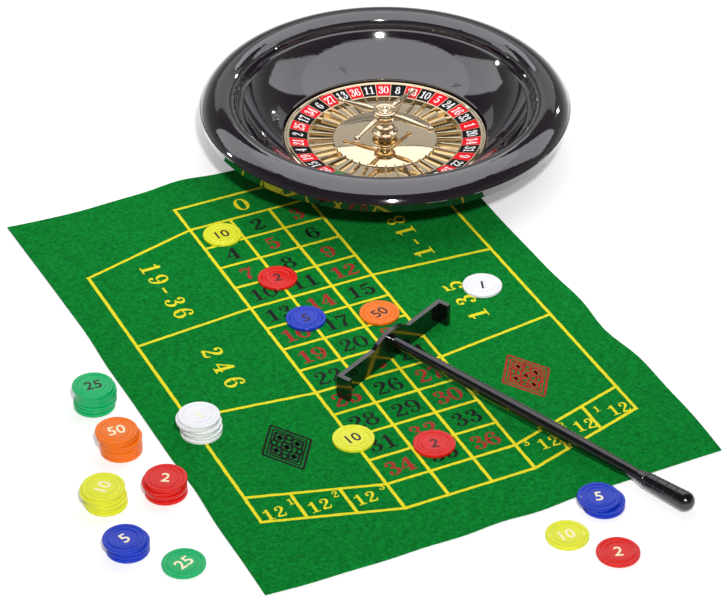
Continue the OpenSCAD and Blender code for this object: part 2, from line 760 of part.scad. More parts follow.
module chip_yellow_top() { color("yellow") one_chip(-27, 131, felt_t); }
module chip_yellow_low() { color("yellow") one_chip(-42.8, -100.8, felt_t); }
module chip_yellow_table() { color("yellow") one_chip(29.4, low_y - 15.5, 0); }
module chip_red_top() { color("red") one_chip(-14.8, 70.5, felt_t); }
module chip_red_low() { color("red") one_chip(-1.7, -126.3, felt_t); }
module chip_red_table() { color("red") one_chip(48.2, low_y - 41.2, 0); }
module chip_blue() { color("royalblue") one_chip(-17, 22.5, felt_t); }
module chip_orange() { color("orange") one_chip(27.3, 7.8, felt_t); }
module chip_white() { color("white") one_chip(99.5, 6.2, felt_t); }
module chip_green_table() { color("mediumseagreen") one_chip(left_x - 14, -161.2, 0); }

layout_felt();
bowl();
base_cover();
base_screws();
rubber_feet();
spindle();
thrust_washer();
deflectors();
rotor_pan();
pocket_ring();
number_ring();
number_trim();
rotor_cone();
rotor_bush();
turret_column();
turret_hub();
turret_arms();
turret_cap();
rake_blade();
rake_rod();
rake_grip();
stack_white();
stack_green();
stack_orange();
stack_yellow();
stack_red();
stack_blue();
pile_blue();
chip_yellow_top();
chip_yellow_low();
chip_yellow_table();
chip_red_top();
chip_red_low();
chip_red_table();
chip_blue();
chip_orange();
chip_white();
chip_green_table();
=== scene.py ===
import math
import random

import bmesh
import bpy
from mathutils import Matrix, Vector


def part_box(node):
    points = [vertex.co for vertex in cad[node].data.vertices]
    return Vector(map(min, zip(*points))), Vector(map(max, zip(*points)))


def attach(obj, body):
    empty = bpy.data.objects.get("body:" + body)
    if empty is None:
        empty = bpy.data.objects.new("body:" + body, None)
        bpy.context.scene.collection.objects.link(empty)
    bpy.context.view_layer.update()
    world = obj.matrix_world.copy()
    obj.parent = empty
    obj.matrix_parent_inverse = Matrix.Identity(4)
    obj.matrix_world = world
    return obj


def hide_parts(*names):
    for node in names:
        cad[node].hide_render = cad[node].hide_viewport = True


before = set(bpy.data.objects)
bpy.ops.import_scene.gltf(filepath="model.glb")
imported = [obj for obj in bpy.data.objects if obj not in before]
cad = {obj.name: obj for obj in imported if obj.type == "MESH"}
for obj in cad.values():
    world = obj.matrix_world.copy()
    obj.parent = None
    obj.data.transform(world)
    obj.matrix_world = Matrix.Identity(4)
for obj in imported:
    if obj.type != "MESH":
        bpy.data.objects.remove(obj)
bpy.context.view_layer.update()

mm = 0.001  # the frame is in metres, the sizes below are in millimetres
print("frame loaded:", len(cad), "nodes")


# Shared helpers

def hexToLinear(hexColour):
    parts = [int(hexColour[i:i + 2], 16) / 255 for i in (1, 3, 5)]
    linear = [c / 12.92 if c <= 0.04045 else ((c + 0.055) / 1.055) ** 2.4 for c in parts]
    return (*linear, 1.0)


def addNode(tree, kind, values=None, links=None, **settings):
    node = tree.nodes.new(kind)
    for name, value in settings.items():
        setattr(node, name, value)
    for socket, value in (values or {}).items():
        node.inputs[socket].default_value = value
    for socket, source in (links or {}).items():
        tree.links.new(source, node.inputs[socket])
    return node


def startMaterial(name):
    material = bpy.data.materials.new(name)
    material.use_nodes = True
    tree = material.node_tree
    return material, tree, tree.nodes["Principled BSDF"]


def perMm(size):
    return 1000 / size  # features of this many mm, as a scale for coordinates in metres


def dress(node, material):
    obj = cad[node]
    obj.data.materials.clear()
    obj.data.materials.append(material)


def boxMm(node):
    low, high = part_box(node)
    return [v / mm for v in low], [v / mm for v in high]


def addPiece(name, mesh, body, materials):
    obj = bpy.data.objects.new(name, mesh)
    bpy.context.scene.collection.objects.link(obj)
    for material in materials:
        obj.data.materials.append(material)
    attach(obj, body)
    return obj


def between(a, b, c, d, t):
    # The smooth curve from b to c, with a before them and d after
    return 0.5 * (2 * b + (c - a) * t + (2 * a - 5 * b + 4 * c - d) * t * t
                  + (3 * b - a - 3 * c + d) * t ** 3)


def smoothPath(points, steps, closed=False):
    n = len(points)
    path = []
    for i in range(n if closed else n - 1):
        around = [i + k for k in (-1, 0, 1, 2)]
        near = [points[k % n] if closed else points[min(max(k, 0), n - 1)] for k in around]
        path += [tuple(between(*four, s / steps) for four in zip(*near)) for s in range(steps)]
    if not closed:
        path.append(tuple(points[-1]))
    return path


def addRibbon(bm, path, place, low, high, closed=False):
    # A flat strip along points of x, y and width, standing from low to high
    n = len(path)
    rows = []
    for i, (x, y, w) in enumerate(path):
        before = path[(i - 1) % n] if closed else path[max(i - 1, 0)]
        after = path[(i + 1) % n] if closed else path[min(i + 1, n - 1)]
        along = Vector((after[0] - before[0], after[1] - before[1]))
        along.normalize()
        side = Vector((-along.y, along.x)) * w / 2
        rows.append([bm.verts.new(place(x + side.x * s, y + side.y * s, h)) for s, h in
                     ((1, high), (-1, high), (-1, low), (1, low))])
    for i in range(n if closed else n - 1):
        a, b = rows[i], rows[(i + 1) % n]
        for k in range(4):
            bm.faces.new((a[k], a[(k + 1) % 4], b[(k + 1) % 4], b[k]))
    if not closed:
        bm.faces.new(rows[0])
        bm.faces.new(rows[-1][::-1])


def addDisc(bm, x, y, width, place, low, high, sides=14):
    rings = []
    for h in (high, low):
        rings.append([bm.verts.new(place(x + width / 2 * math.cos(a), y + width / 2 * math.sin(a), h))
                      for a in (2 * math.pi * k / sides for k in range(sides))])
    bm.faces.new(rings[0])
    bm.faces.new(rings[1][::-1])
    for k in range(sides):
        bm.faces.new((rings[0][k], rings[1][k], rings[1][(k + 1) % sides], rings[0][(k + 1) % sides]))


def finishMesh(bm, name, smooth=False):
    bmesh.ops.recalc_face_normals(bm, faces=bm.faces[:])
    mesh = bpy.data.meshes.new(name)
    bm.to_mesh(mesh)
    bm.free()
    if smooth:
        mesh.polygons.foreach_set("use_smooth", [True] * len(mesh.polygons))
    return mesh


# Numerals in a fat-faced serif: each stroke is a row of points of x, y and width, on a cap height of 1

numeralWidth = 0.62  # as a share of its height
strokeSteps = 5  # from one point of a curved stroke to the next
strokeLift = 0.002  # overlapping strokes end this far apart in height


def turned(strokes):
    # The same numeral upside down
    return [(kind, [(numeralWidth - x, 1 - y, w) for x, y, w in points]) for kind, points in strokes]


numerals = {
    "0": [("loop", [(0.31, 0.965, 0.07), (0.48, 0.83, 0.12), (0.54, 0.5, 0.18), (0.48, 0.17, 0.12),
                    (0.31, 0.035, 0.07), (0.14, 0.17, 0.12), (0.08, 0.5, 0.18), (0.14, 0.83, 0.12)])],
    "1": [("line", [(0.33, 0.0, 0.18), (0.33, 1.0, 0.18)]),
          ("line", [(0.08, 0.035, 0.07), (0.58, 0.035, 0.07)]),
          ("curve", [(0.36, 0.96, 0.08), (0.24, 0.84, 0.1), (0.07, 0.79, 0.07)])],
    "2": [("dot", [(0.155, 0.73, 0.18)]),
          ("curve", [(0.09, 0.74, 0.05), (0.14, 0.9, 0.07), (0.3, 0.965, 0.08), (0.46, 0.88, 0.14),
                     (0.49, 0.72, 0.18), (0.4, 0.53, 0.15), (0.22, 0.33, 0.1), (0.08, 0.14, 0.08),
                     (0.06, 0.05, 0.06)]),
          ("curve", [(0.05, 0.06, 0.12), (0.18, 0.1, 0.15), (0.34, 0.06, 0.13), (0.47, 0.06, 0.12),
                     (0.54, 0.14, 0.08), (0.57, 0.28, 0.05)])],
    "3": [("dot", [(0.155, 0.77, 0.17)]),
          ("curve", [(0.09, 0.78, 0.05), (0.15, 0.92, 0.07), (0.3, 0.965, 0.08), (0.44, 0.88, 0.14),
                     (0.46, 0.74, 0.17), (0.36, 0.59, 0.11), (0.22, 0.54, 0.07)]),
          ("curve", [(0.22, 0.54, 0.07), (0.4, 0.51, 0.1), (0.52, 0.38, 0.15), (0.52, 0.24, 0.18),
                     (0.42, 0.08, 0.13), (0.26, 0.035, 0.07), (0.12, 0.1, 0.07), (0.08, 0.22, 0.05)]),
          ("dot", [(0.15, 0.23, 0.18)])],
    "4": [("line", [(0.4, 0.99, 0.08), (0.04, 0.31, 0.08)]),
          ("line", [(0.0, 0.3, 0.08), (0.61, 0.3, 0.08)]),
          ("line", [(0.42, 1.0, 0.18), (0.42, 0.0, 0.18)]),
          ("line", [(0.23, 0.035, 0.07), (0.61, 0.035, 0.07)])],
    "5": [("line", [(0.13, 1.0, 0.06), (0.11, 0.5, 0.06)]),
          ("curve", [(0.11, 0.92, 0.12), (0.26, 0.9, 0.15), (0.4, 0.93, 0.13), (0.51, 1.0, 0.06)]),
          ("curve", [(0.11, 0.5, 0.06), (0.22, 0.6, 0.07), (0.36, 0.6, 0.1), (0.51, 0.47, 0.15),
                     (0.52, 0.28, 0.18), (0.42, 0.09, 0.13), (0.26, 0.035, 0.07), (0.12, 0.09, 0.07),
                     (0.08, 0.2, 0.05)]),
          ("dot", [(0.15, 0.21, 0.18)])],
    "6": [("dot", [(0.47, 0.79, 0.17)]),
          ("curve", [(0.53, 0.8, 0.05), (0.46, 0.93, 0.07), (0.33, 0.965, 0.07), (0.19, 0.87, 0.11),
                     (0.11, 0.66, 0.15), (0.09, 0.4, 0.18), (0.15, 0.15, 0.14), (0.31, 0.035, 0.07),
                     (0.47, 0.13, 0.13), (0.53, 0.31, 0.17), (0.46, 0.5, 0.12), (0.33, 0.58, 0.06),
                     (0.2, 0.52, 0.05), (0.12, 0.38, 0.05)])],
    "7": [("line", [(0.06, 1.0, 0.06), (0.06, 0.7, 0.06)]),
          ("curve", [(0.05, 0.9, 0.14), (0.2, 0.93, 0.16), (0.38, 0.88, 0.14), (0.57, 0.97, 0.08)]),
          ("curve", [(0.57, 0.98, 0.06), (0.48, 0.78, 0.08), (0.34, 0.5, 0.12), (0.27, 0.25, 0.17),
                     (0.27, 0.0, 0.2)])],
    "8": [("loop", [(0.31, 0.965, 0.06), (0.44, 0.89, 0.11), (0.49, 0.76, 0.15), (0.44, 0.62, 0.11),
                    (0.31, 0.545, 0.07), (0.18, 0.62, 0.11), (0.13, 0.76, 0.15), (0.18, 0.89, 0.11)]),
          ("loop", [(0.31, 0.54, 0.07), (0.48, 0.44, 0.12), (0.54, 0.28, 0.17), (0.48, 0.11, 0.12),
                    (0.31, 0.035, 0.07), (0.14, 0.11, 0.12), (0.08, 0.28, 0.17), (0.14, 0.44, 0.12)])],
    "-": [("line", [(0.06, 0.42, 0.11), (0.46, 0.42, 0.11)])],
}
numerals["9"] = turned(numerals["6"])


def addNumeral(bm, character, place, low, high):
    for order, (kind, points) in enumerate(numerals[character]):
        top = high + order * strokeLift
        if kind == "dot":
            x, y, w = points[0]
            addDisc(bm, x, y, w, place, low, top)
        elif kind == "line":
            addRibbon(bm, points, place, low, top)
        else:
            closed = kind == "loop"
            addRibbon(bm, smoothPath(points, strokeSteps, closed), place, low, top, closed)


# Materials, each named for the real one. The sizes in a look are those of its pattern, in mm

def needleFelt():
    # Needle-punched wool felt: dull, deep green, mottled where fibres clump, with a soft nap.
    # Real fibres are some 0.03 mm thick; these are drawn as coarse as they need to be to show
    look = {"deep": "#00551b", "mid": "#007828", "bright": "#0b9137", "deepAt": 0.34, "brightAt": 0.66,
            "fibre": 0.77, "fibreShare": 0.55, "clump": 2.6, "nap": 0.25}
    material, tree, shader = startMaterial("needleFelt")
    place = addNode(tree, "ShaderNodeTexCoord").outputs["Object"]
    stretched = addNode(tree, "ShaderNodeMapping", {"Scale": (0.45, 1, 1)}, {"Vector": place})
    fibre = addNode(tree, "ShaderNodeTexNoise",
                    {"Scale": perMm(look["fibre"]), "Detail": 4, "Roughness": 0.7},
                    {"Vector": stretched.outputs[0]})
    clump = addNode(tree, "ShaderNodeTexNoise",
                    {"Scale": perMm(look["clump"]), "Detail": 3, "Roughness": 0.6}, {"Vector": place})
    share = addNode(tree, "ShaderNodeMath", {1: look["fibreShare"]}, {0: fibre.outputs["Fac"]},
                    operation="MULTIPLY")
    mottle = addNode(tree, "ShaderNodeMath", {1: 1 - look["fibreShare"]},
                     {0: clump.outputs["Fac"], 2: share.outputs[0]}, operation="MULTIPLY_ADD")
    ramp = addNode(tree, "ShaderNodeValToRGB", links={"Fac": mottle.outputs[0]})
    stops = ramp.color_ramp.elements
    stops[0].position, stops[0].color = look["deepAt"], hexToLinear(look["deep"])
    stops[1].position, stops[1].color = look["brightAt"], hexToLinear(look["bright"])
    stops.new(0.5).color = hexToLinear(look["mid"])
    bump = addNode(tree, "ShaderNodeBump", {"Strength": 0.5, "Distance": look["nap"] * mm},
                   {"Height": fibre.outputs["Fac"]})
    tree.links.new(ramp.outputs["Color"], shader.inputs["Base Color"])
    tree.links.new(bump.outputs["Normal"], shader.inputs["Normal"])
    shader.inputs["Roughness"].default_value = 0.95
    shader.inputs["Specular IOR Level"].default_value = 0.05
    shader.inputs["Sheen Weight"].default_value = 0.02
    shader.inputs["Sheen Roughness"].default_value = 0.6
    return material


def screenInk(name, inkHex, wear):
    # Screen-printed ink on felt: matt colour lying on the fibres, with the green showing through in specks
    look = {"felt": "#04782b", "fibre": 0.9, "nap": 0.2}
    material, tree, shader = startMaterial(name)
    place = addNode(tree, "ShaderNodeTexCoord").outputs["Object"]
    stretched = addNode(tree, "ShaderNodeMapping", {"Scale": (0.35, 1, 1)}, {"Vector": place})
    fibre = addNode(tree, "ShaderNodeTexNoise",
                    {"Scale": perMm(look["fibre"]), "Detail": 4, "Roughness": 0.7},
                    {"Vector": stretched.outputs[0]})
    cover = addNode(tree, "ShaderNodeMapRange",
                    {"From Min": 0.36, "From Max": 0.5, "To Min": wear, "To Max": 0.0},
                    {"Value": fibre.outputs["Fac"]})
    mix = addNode(tree, "ShaderNodeMix", {"A": hexToLinear(inkHex), "B": hexToLinear(look["felt"])},
                  {"Factor": cover.outputs[0]}, data_type="RGBA")
    bump = addNode(tree, "ShaderNodeBump", {"Strength": 0.4, "Distance": look["nap"] * mm},
                   {"Height": fibre.outputs["Fac"]})
    tree.links.new(mix.outputs["Result"], shader.inputs["Base Color"])
    tree.links.new(bump.outputs["Normal"], shader.inputs["Normal"])
    shader.inputs["Roughness"].default_value = 0.75
    shader.inputs["Specular IOR Level"].default_value = 0.3
    return material


def glossBlackPolystyrene(name, hexColour, roughness, ripple, coat):
    # Injection-moulded polystyrene in black: a mirror-like skin with the faint ripple of a big moulding.
    # The dust on it is finer than this, and is drawn as coarse as it needs to be to show
    look = {"rippleLength": 24, "dust": 0.8}
    material, tree, shader = startMaterial(name)
    place = addNode(tree, "ShaderNodeTexCoord").outputs["Object"]
    wave = addNode(tree, "ShaderNodeTexNoise",
                   {"Scale": perMm(look["rippleLength"]), "Detail": 1.5, "Roughness": 0.4},
                   {"Vector": place})
    dust = addNode(tree, "ShaderNodeTexNoise", {"Scale": perMm(look["dust"]), "Detail": 2},
                   {"Vector": place})
    gloss = addNode(tree, "ShaderNodeMapRange",
                    {"From Min": 0.3, "From Max": 0.7, "To Min": roughness * 0.85, "To Max": roughness * 1.25},
                    {"Value": dust.outputs["Fac"]})
    bump = addNode(tree, "ShaderNodeBump", {"Strength": 0.25, "Distance": ripple * mm},
                   {"Height": wave.outputs["Fac"]})
    tree.links.new(gloss.outputs[0], shader.inputs["Roughness"])
    tree.links.new(bump.outputs["Normal"], shader.inputs["Normal"])
    shader.inputs["Base Color"].default_value = hexToLinear(hexColour)
    shader.inputs["IOR"].default_value = 1.59
    shader.inputs["Coat Weight"].default_value = coat
    shader.inputs["Coat Roughness"].default_value = 0.03
    shader.inputs["Coat IOR"].default_value = 1.85
    return material


def vacuumGold():
    # Vacuum-metallised plastic: a thin, bright, pale gold mirror that is a little uneven
    look = {"colour": "#f5e3c0", "uneven": 9, "depth": 0.12}
    material, tree, shader = startMaterial("vacuumGold")
    place = addNode(tree, "ShaderNodeTexCoord").outputs["Object"]
    uneven = addNode(tree, "ShaderNodeTexNoise", {"Scale": perMm(look["uneven"]), "Detail": 2},
                     {"Vector": place})
    gloss = addNode(tree, "ShaderNodeMapRange",
                    {"From Min": 0.3, "From Max": 0.7, "To Min": 0.03, "To Max": 0.07},
                    {"Value": uneven.outputs["Fac"]})
    bump = addNode(tree, "ShaderNodeBump", {"Strength": 0.12, "Distance": look["depth"] * mm},
                   {"Height": uneven.outputs["Fac"]})
    tree.links.new(gloss.outputs[0], shader.inputs["Roughness"])
    tree.links.new(bump.outputs["Normal"], shader.inputs["Normal"])
    shader.inputs["Base Color"].default_value = hexToLinear(look["colour"])
    shader.inputs["Metallic"].default_value = 1
    return material


def chipPolystyrene(name, hexColour):
    # Injection-moulded chip plastic: clear strong colour, satin gloss, very slightly milky
    look = {"cloud": 5, "skin": 0.5, "depth": 0.05}
    material, tree, shader = startMaterial(name)
    place = addNode(tree, "ShaderNodeTexCoord").outputs["Object"]
    cloud = addNode(tree, "ShaderNodeTexNoise", {"Scale": perMm(look["cloud"]), "Detail": 3},
                    {"Vector": place})
    shade = addNode(tree, "ShaderNodeMapRange",
                    {"From Min": 0.3, "From Max": 0.7, "To Min": 0.93, "To Max": 1.0},
                    {"Value": cloud.outputs["Fac"]})
    colour = addNode(tree, "ShaderNodeHueSaturation", {"Color": hexToLinear(hexColour)},
                     {"Value": shade.outputs[0]})
    skin = addNode(tree, "ShaderNodeTexNoise", {"Scale": perMm(look["skin"]), "Detail": 2},
                   {"Vector": place})
    bump = addNode(tree, "ShaderNodeBump", {"Strength": 0.08, "Distance": look["depth"] * mm},
                   {"Height": skin.outputs["Fac"]})
    tree.links.new(colour.outputs[0], shader.inputs["Base Color"])
    tree.links.new(bump.outputs["Normal"], shader.inputs["Normal"])
    shader.inputs["Roughness"].default_value = 0.2
    shader.inputs["IOR"].default_value = 1.5
    shader.inputs["Specular IOR Level"].default_value = 0.35
    return material


def stampedPrint(name, hexColour, metallic, roughness):
    # Hot-stamped foil or ink in the face of a chip: thin, smooth, with tiny breaks
    look = {"breaks": 0.6}
    material, tree, shader = startMaterial(name)
    place = addNode(tree, "ShaderNodeTexCoord").outputs["Object"]
    breaks = addNode(tree, "ShaderNodeTexNoise", {"Scale": perMm(look["breaks"]), "Detail": 2},
                     {"Vector": place})
    gloss = addNode(tree, "ShaderNodeMapRange", {"To Min": roughness * 0.7, "To Max": roughness * 1.3},
                    {"Value": breaks.outputs["Fac"]})
    tree.links.new(gloss.outputs[0], shader.inputs["Roughness"])
    shader.inputs["Base Color"].default_value = hexToLinear(hexColour)
    shader.inputs["Metallic"].default_value = metallic
    return material


def plainStuff(name, hexColour, roughness, metallic=0.0, ior=1.5):
    # Matt mouldings, rubber, turned metal, nylon and ink, with the fine grain that their making leaves
    look = {"grain": 0.6, "depth": 0.05}
    material, tree, shader = startMaterial(name)
    place = addNode(tree, "ShaderNodeTexCoord").outputs["Object"]
    grain = addNode(tree, "ShaderNodeTexNoise", {"Scale": perMm(look["grain"]), "Detail": 3},
                    {"Vector": place})
    bump = addNode(tree, "ShaderNodeBump", {"Strength": 0.3, "Distance": look["depth"] * mm},
                   {"Height": grain.outputs["Fac"]})
    tree.links.new(bump.outputs["Normal"], shader.inputs["Normal"])
    shader.inputs["Base Color"].default_value = hexToLinear(hexColour)
    shader.inputs["Roughness"].default_value = roughness
    shader.inputs["Metallic"].default_value = metallic
    if not metallic:
        shader.inputs["IOR"].default_value = ior
    return material


feltGreen = needleFelt()
yellowInk = screenInk("yellowInk", "#f0e11c", wear=0.3)
blackInk = screenInk("blackInk", "#030906", wear=0.06)
redInk = screenInk("redInk", "#ab1822", wear=0.3)
bowlBlack = glossBlackPolystyrene("glossBlackPolystyrene", "#150e16", roughness=0.07, ripple=0.2, coat=1.0)
rakeBlack = glossBlackPolystyrene("rakeBlackPolystyrene", "#0a090c", roughness=0.16, ripple=0.15, coat=0.3)
coverBlack = plainStuff("mattBlackPolystyrene", "#141314", 0.6)
gold = vacuumGold()
rubber = plainStuff("footRubber", "#1a1a1b", 0.85)
steel = plainStuff("turnedSteel", "#b9bbbf", 0.3, metallic=1)
brass = plainStuff("turnedBrass", "#c9a35a", 0.3, metallic=1)
nylon = plainStuff("naturalNylon", "#e6e3d8", 0.5, ior=1.53)
chipColours = {"white": "#f2f4f8", "green": "#05b467", "orange": "#f5760a", "yellow": "#e6ea30",
               "red": "#de1a12", "blue": "#0f36bd"}
chipPlastic = {name: chipPolystyrene(name + "ChipPolystyrene", colour)
               for name, colour in chipColours.items()}
creamFoil = stampedPrint("creamFoil", "#f7ecc4", metallic=0.35, roughness=0.3)
darkStamp = stampedPrint("darkStamp", "#241410", metallic=0.0, roughness=0.45)
print("materials made")


# Felt: the sheet follows the outline of its solid, and the print lies flush with its top

felt = {"thickness": 1.0, "edge": ((0.12, 0.0), (0.0, 0.3), (0.05, 0.72), (0.4, 0.96)), "fray": 0.06,
        "printSink": 0.02, "printDepth": 0.05, "gridLeft": -43.2, "gridTop": 146.84,
        "column": 28.43, "row": 24.467, "rows": 13, "zeroRow": -1.07, "sideLeft": -123.4, "sideRight": 124.5,
        "ticks": (-69.9, -97.8, 68.8, 95.8), "line": 2.1, "lineStep": 3, "lineLift": 0.012,
        "waver": 0.1, "swell": (0.9, 1.08)}
feltText = {  # height, pitch and how far the figures are widened
    "number": (12.6, 9.4, 1.12), "zero": (14, 10, 1.12), "range": (13, 13.6, 1.15),
    "digits": (13, 17, 1.15), "twelve": (9.6, 7.4, 1.05), "raised": (5.6, 5, 1.1),
}


def outlineOf(node, level):
    # Corner points of a flat node's edge at its top, in order
    bm = bmesh.new()
    bm.from_mesh(cad[node].data)
    bmesh.ops.remove_doubles(bm, verts=bm.verts[:], dist=0.01 * mm)
    top = {f for f in bm.faces if f.normal.z > 0.9}  # the faces that look up
    rim = [e for e in bm.edges if sum(f in top for f in e.link_faces) == 1]
    rim = [e for e in rim if all(v.co.z > level * mm for v in e.verts)]
    links = {}
    for e in rim:
        for v in e.verts:
            links.setdefault(v, []).append(e.other_vert(v))
    start = rim[0].verts[0]
    points, last, here = [], None, start
    while True:
        points.append(here.co.copy())
        following = [v for v in links[here] if v is not last][0]
        last, here = here, following
        if here is start:
            break
    points = [(p.x / mm, p.y / mm) for p in points]
    bm.free()
    area = sum(a[0] * b[1] - b[0] * a[1] for a, b in zip(points, points[1:] + points[:1])) / 2
    return (points if area > 0 else points[::-1]), abs(area)


def inset(points, amount):
    n = len(points)
    moved = []
    for i, (x, y) in enumerate(points):
        along = Vector(points[(i + 1) % n]) - Vector(points[i - 1])
        along.normalize()
        moved.append((x - along.y * amount, y + along.x * amount))
    return moved


feltOutline, feltArea = outlineOf("layout_felt", felt["thickness"] / 2)


def makeFeltSheet():
    rng = random.Random(7)
    bm = bmesh.new()
    loops = []
    for amount, height in felt["edge"]:  # how far in and how high, from the foot of the cut edge up
        edge = inset(feltOutline, amount + felt["fray"] * rng.random())
        loops.append([bm.verts.new(Vector((x, y, height * felt["thickness"])) * mm) for x, y in edge])
    n = len(feltOutline)
    for a, b in zip(loops, loops[1:]):
        for k in range(n):
            bm.faces.new((a[k], a[(k + 1) % n], b[(k + 1) % n], b[k]))
    for loop in (loops[0][::-1], loops[-1]):
        bmesh.ops.triangulate(bm, faces=[bm.faces.new(loop)])
    return addPiece("feltSheet", finishMesh(bm, "feltSheet"), "felt", [feltGreen])


def onFelt(x, y, h):
    return Vector((x, y, h)) * mm


def columnX(column):
    return felt["gridLeft"] + column * felt["column"]


def rowY(row):
    return felt["gridTop"] - row * felt["row"]


inkTop = felt["thickness"] - felt["printSink"]
inkLow = inkTop - felt["printDepth"]
# The slanting lines, each by its row at the grid and its row at the outer side line
fanRows = [(0, 0.92), (4, 4.28), (8, 7.58), (12, 11.0), (13, 12.0)]


def fanPoint(x, inner, outer):
    # A point on the slanting line that leaves the grid at one row and meets the side line at another
    edge, side = (columnX(0), felt["sideLeft"]) if x < 0 else (columnX(3), felt["sideRight"])
    share = (x - edge) / (side - edge)
    return (x, rowY(inner + (outer - inner) * share))


def makeFeltLines():
    level = {"column": 0, "row": 1, "fan": 2, "side": 3, "tick": 4}  # lines that cross lie a hair apart
    rng = random.Random(11)
    bm = bmesh.new()

    def rule(a, b, kind):
        a, b = Vector(a), Vector(b)
        length = (b - a).length
        half = (b - a).normalized() * felt["line"] / 2
        a, b = a - half, b + half
        steps = max(int(length / felt["lineStep"]), 2)
        path = []
        for k in range(steps + 1):
            p = a.lerp(b, k / steps)
            path.append((p.x + rng.uniform(-felt["waver"], felt["waver"]),
                         p.y + rng.uniform(-felt["waver"], felt["waver"]),
                         felt["line"] * rng.uniform(*felt["swell"])))
        addRibbon(bm, path, onFelt, inkLow, inkTop + level[kind] * felt["lineLift"])

    for column in range(4):
        top = felt["zeroRow"] if column in (0, 3) else 0
        rule((columnX(column), rowY(top)), (columnX(column), rowY(felt["rows"])), "column")
    for row in (felt["zeroRow"], *range(felt["rows"] + 1)):
        rule((columnX(0), rowY(row)), (columnX(3), rowY(row)), "row")
    for side in (felt["sideLeft"], felt["sideRight"]):
        edge = columnX(0) if side < 0 else columnX(3)
        rule((side, rowY(fanRows[0][1])), (side, rowY(fanRows[-1][1])), "side")
        for inner, outer in fanRows:
            rule(fanPoint(edge, inner, outer), fanPoint(side, inner, outer), "fan")
    for x in felt["ticks"]:
        rule(fanPoint(x, *fanRows[3]), fanPoint(x, *fanRows[4]), "tick")
    return addPiece("feltLines", finishMesh(bm, "feltLines"), "felt", [yellowInk])


def printText(bm, text, centre, up, kind):
    # centre is the middle of the text, up the direction of its tops; the baseline runs to the right of up
    height, pitch, widen = feltText[kind]
    upward = Vector(up).normalized()
    right = Vector((upward.y, -upward.x))
    start = -(len(text) - 1) / 2
    for k, character in enumerate(text):
        middle = Vector(centre) + right * (start + k) * pitch

        def place(x, y, h, middle=middle):
            flat = middle + right * (x - numeralWidth / 2) * height * widen + upward * (y - 0.5) * height
            return onFelt(flat.x, flat.y, h)

        addNumeral(bm, character, place, inkLow, inkTop)


redNumbers = {1, 3, 5, 7, 9, 12, 14, 16, 18, 19, 21, 23, 25, 27, 30, 32, 34, 36}


def makeFeltNumbers():
    inks = {"feltNumbersRed": (redInk, bmesh.new()), "feltNumbersBlack": (blackInk, bmesh.new())}
    for number in range(1, 37):
        name = "feltNumbersRed" if number in redNumbers else "feltNumbersBlack"
        column, row = (number - 1) % 3, (number - 1) // 3
        centre = (columnX(column + 0.5), rowY(row + 0.52))
        printText(inks[name][1], str(number), centre, (0, 1), "number")
    return [addPiece(name, finishMesh(bm, name), "felt", [ink]) for name, (ink, bm) in inks.items()]


# The side boxes: text, its middle and the direction of its tops
sideTexts = [("19-36", (-83.5, 90), (1, 0)), ("246", (-83.5, -0.5), (1, 0)),
             ("1-18", (83.5, 78), (-1, 0)), ("135", (83.5, -2), (-1, 0))]
# The twelves: the place of each, and how far to its side the small raised figure stands
twelves = [(-110.4, -141.5, 9.5), (-83.9, -146.5, 9.5), (-56.9, -152, 9.5),
           (112, -141.5, -9.5), (85.5, -146.5, -9.5), (58, -152, -9.5)]
twelve = {"back": 0.32, "drop": 1, "raise": 4.4}


def makeFeltFigures():
    # Yellow figures: zero, the side boxes and the twelves, in plain number ranges
    bm = bmesh.new()
    printText(bm, "0", (columnX(1.5), rowY(-0.54)), (0, 1), "zero")
    for text, centre, up in sideTexts:
        printText(bm, text, centre, up, "range" if "-" in text else "digits")
    for k, (x, y, away) in enumerate(twelves):
        printText(bm, "12", (x - away * twelve["back"], y - twelve["drop"]), (0, 1), "twelve")
        printText(bm, str(k % 3 + 1), (x + away, y + twelve["raise"]), (0, 1), "raised")
    return addPiece("feltFigures", finishMesh(bm, "feltFigures"), "felt", [yellowInk])


diamond = {"wide": 16.5, "tall": 24.2, "spread": 0.42, "corner": 0.3, "lift": 0.001}


def makeDiamond(name, centre, ink):
    # Plain nested lozenges for the two colour boxes
    wide, tall, spread, corner = diamond["wide"], diamond["tall"], diamond["spread"], diamond["corner"]
    bm = bmesh.new()

    def lozenge(sx, sy, grow, width, level):
        # Its middle and its size are shares of the whole, and its lines are this wide
        middle = Vector((centre[0] + sx * wide, centre[1] + sy * tall))
        corners = [(1, 0), (0, 1), (-1, 0), (0, -1), (1, 0)]
        points = [(middle.x + wide * grow * cx, middle.y + tall * grow * cy, width) for cx, cy in corners]
        for a, b in zip(points, points[1:]):
            addRibbon(bm, [a, b], onFelt, inkLow, inkTop + level * diamond["lift"])

    lozenge(0, 0, 0.97, 1.5, 0)
    lozenge(0, 0, 0.8, 1.1, 1)
    for k, (sx, sy) in enumerate([(0, 0), (spread, 0), (-spread, 0), (0, spread), (0, -spread)]):
        lozenge(sx, sy, 0.24, 1.6, 2 + k)
        lozenge(sx, sy, 0.08, 2.2, 8 + k)
    for sx, sy in [(1, 1), (1, -1), (-1, 1), (-1, -1)]:
        lozenge(sx * corner, sy * corner, 0.13, 1.4, 14)
    return addPiece(name, finishMesh(bm, name), "felt", [ink])


feltSheet = makeFeltSheet()
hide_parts("layout_felt")
feltPrint = [makeFeltLines(), *makeFeltNumbers(), makeFeltFigures(),
             makeDiamond("feltDiamondBlack", (-81.3, -89.7), blackInk),
             makeDiamond("feltDiamondRed", (80.2, -88.8), redInk)]
print("felt made")


# Wheel: bowl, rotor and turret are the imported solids; the number ring gets its fields, figures and dividers

